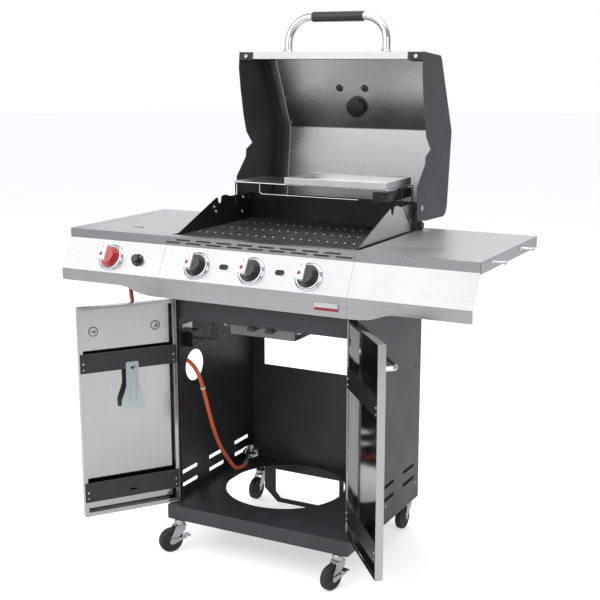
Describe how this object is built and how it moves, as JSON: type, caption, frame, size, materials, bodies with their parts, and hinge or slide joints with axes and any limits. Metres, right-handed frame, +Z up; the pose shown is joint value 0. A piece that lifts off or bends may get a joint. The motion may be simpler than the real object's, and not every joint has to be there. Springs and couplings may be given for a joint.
{
  "type": "gas barbecue grill",
  "caption": "Gas barbecue grill on a cabinet cart with casters: hinged lid, cast grates, warming rack, side shelves, side burner, control knobs, double doors, hose and regulator.",
  "frame": {"origin": "centre of the bounding box in X and Y with lid and doors open, on the floor under the wheels", "axes": "+X to the right of someone facing the control panel, +Y to the back, +Z up"},
  "size_m": [1.3804, 0.9426, 1.6487],
  "materials": {
    "stainless": "brushed",
    "grey_paint": "satin dark grey powder coat",
    "black_enamel": "satin black",
    "chrome": "polished",
    "zinc": "bright zinc plate",
    "wheel_rubber": "matt",
    "cast_iron": "matt porcelain enamel",
    "black_plastic": "fine moulded",
    "red_plastic": "gloss",
    "orange_hose": "satin"
  },
  "bodies": {
    "root": {"back_panel": "grey_paint", "base_tray": "grey_paint", "burner_centre": "stainless", "burner_left": "stainless", "burner_right": "stainless", "cooking_grate_left": "cast_iron", "cooking_grate_right": "cast_iron", "cylinder_cradle": "black_enamel", "fascia_left": "stainless", "fascia_middle": "stainless", "fascia_right": "stainless", "firebox": "black_enamel", "front_cross_panel": "grey_paint", "gas_hose": "orange_hose", "gas_manifold": "zinc", "grease_tray_rails": "zinc", "heat_shield_centre": "cast_iron", "heat_shield_left": "cast_iron", "heat_shield_right": "cast_iron", "igniter_box": "black_plastic", "left_shelf": "stainless", "left_side_panel": "grey_paint", "regulator": "zinc", "right_shelf": "stainless", "right_side_panel": "grey_paint", "roasting_tray": "stainless", "side_burner": "cast_iron", "warming_rack": "chrome"},
    "lid": {"lid_panel": "stainless", "lid_cap_left": "grey_paint", "lid_cap_right": "grey_paint", "lid_handle": "chrome", "lid_handle_grip": "black_plastic", "heat_gauge": "chrome"},
    "left_door_body": {"left_door": "stainless", "left_door_upper_bar": "black_enamel", "left_door_lower_bar": "black_enamel", "left_door_handle": "chrome", "grate_scraper": "zinc"},
    "right_door_body": {"right_door": "stainless", "right_door_upper_bar": "black_enamel", "right_door_lower_bar": "black_enamel", "right_door_handle": "chrome"},
    "grease_drawer": {"grease_tray": "stainless"},
    "side_lid": {"side_burner_lid": "stainless"},
    "side_burner_knob_body": {"side_burner_knob": "red_plastic"},
    "left_knob_body": {"left_knob": "black_plastic"},
    "centre_knob_body": {"centre_knob": "black_plastic"},
    "right_knob_body": {"right_knob": "black_plastic"},
    "igniter_button_body": {"igniter_button": "black_plastic"},
    "fork_fl": {"caster_fork_fl": "zinc"},
    "wheel_fl": {"caster_wheel_fl": "wheel_rubber"},
    "fork_fr": {"caster_fork_fr": "zinc"},
    "wheel_fr": {"caster_wheel_fr": "wheel_rubber"},
    "fork_bl": {"caster_fork_bl": "zinc"},
    "wheel_bl": {"caster_wheel_bl": "wheel_rubber"},
    "fork_br": {"caster_fork_br": "zinc"},
    "wheel_br": {"caster_wheel_br": "wheel_rubber"},
    "brake_fl": {"brake_lever_fl": "zinc"},
    "brake_fr": {"brake_lever_fr": "zinc"}
  },
  "joints": [
    {"name": "lid_hinge", "type": "hinge", "parent": "root", "child": "lid", "pos_m": [-0.02025, 0.22885, 1.055], "axis": [1, 0, 0], "range_deg": [0, 96.6]},
    {"name": "left_door_hinge", "type": "hinge", "parent": "root", "child": "left_door_body", "pos_m": [-0.31875, -0.22365, 0.47], "axis": [0, 0, -1], "range_deg": [-125.7, 9.3]},
    {"name": "right_door_hinge", "type": "hinge", "parent": "root", "child": "right_door_body", "pos_m": [0.27825, -0.22365, 0.47], "axis": [0, 0, 1], "range_deg": [-130.5, 4.5]},
    {"name": "grease_tray_slide", "type": "slide", "parent": "root", "child": "grease_drawer", "axis": [0, -1, 0], "range_m": [0, 0.3]},
    {"name": "side_lid_hinge", "type": "hinge", "parent": "root", "child": "side_lid", "pos_m": [-0.51125, 0.23735, 0.9857], "axis": [-1, 0, 0], "range_deg": [0, 100]},
    {"name": "side_burner_knob_turn", "type": "hinge", "parent": "root", "child": "side_burner_knob_body", "pos_m": [-0.51725, -0.26049, 0.91061], "axis": [0, -0.8745, 0.485], "range_deg": [0, 200]},
    {"name": "left_knob_turn", "type": "hinge", "parent": "root", "child": "left_knob_body", "pos_m": [-0.20825, -0.26049, 0.91061], "axis": [0, -0.8745, 0.485], "range_deg": [0, 200]},
    {"name": "centre_knob_turn", "type": "hinge", "parent": "root", "child": "centre_knob_body", "pos_m": [-0.02325, -0.26049, 0.91061], "axis": [0, -0.8745, 0.485], "range_deg": [0, 200]},
    {"name": "right_knob_turn", "type": "hinge", "parent": "root", "child": "right_knob_body", "pos_m": [0.16175, -0.26049, 0.91061], "axis": [0, -0.8745, 0.485], "range_deg": [0, 200]},
    {"name": "igniter_press", "type": "slide", "parent": "root", "child": "igniter_button_body", "axis": [0, 0.8745, -0.485], "range_m": [0, 0.004], "stiffness_N_per_m": 400, "springref_m": -0.002},
    {"name": "swivel_fl", "type": "hinge", "parent": "root", "child": "fork_fl", "pos_m": [-0.29525, -0.24915, 0.09], "axis": [0, 0, 1], "continuous": true},
    {"name": "roll_fl", "type": "hinge", "parent": "fork_fl", "child": "wheel_fl", "pos_m": [-0.31213, -0.27515, 0.038], "axis": [0.8387, -0.5446, 0], "continuous": true},
    {"name": "brake_press_fl", "type": "hinge", "parent": "fork_fl", "child": "brake_fl", "pos_m": [-0.31213, -0.27515, 0.038], "axis": [-0.8387, 0.5446, 0], "range_deg": [0, 18]},
    {"name": "swivel_fr", "type": "hinge", "parent": "root", "child": "fork_fr", "pos_m": [0.25475, -0.24915, 0.09], "axis": [0, 0, 1], "continuous": true},
    {"name": "roll_fr", "type": "hinge", "parent": "fork_fr", "child": "wheel_fr", "pos_m": [0.24569, -0.2788, 0.038], "axis": [0.9563, -0.2924, 0], "continuous": true},
    {"name": "brake_press_fr", "type": "hinge", "parent": "fork_fr", "child": "brake_fr", "pos_m": [0.24569, -0.2788, 0.038], "axis": [-0.9563, 0.2924, 0], "range_deg": [0, 18]},
    {"name": "swivel_bl", "type": "hinge", "parent": "root", "child": "fork_bl", "pos_m": [-0.29525, 0.25885, 0.09], "axis": [0, 0, 1], "continuous": true},
    {"name": "roll_bl", "type": "hinge", "parent": "fork_bl", "child": "wheel_bl", "pos_m": [-0.29525, 0.22785, 0.038], "axis": [1, 0, 0], "continuous": true},
    {"name": "swivel_br", "type": "hinge", "parent": "root", "child": "fork_br", "pos_m": [0.25475, 0.25885, 0.09], "axis": [0, 0, 1], "continuous": true},
    {"name": "roll_br", "type": "hinge", "parent": "fork_br", "child": "wheel_br", "pos_m": [0.25475, 0.22785, 0.038], "axis": [1, 0, 0], "continuous": true}
  ]
}
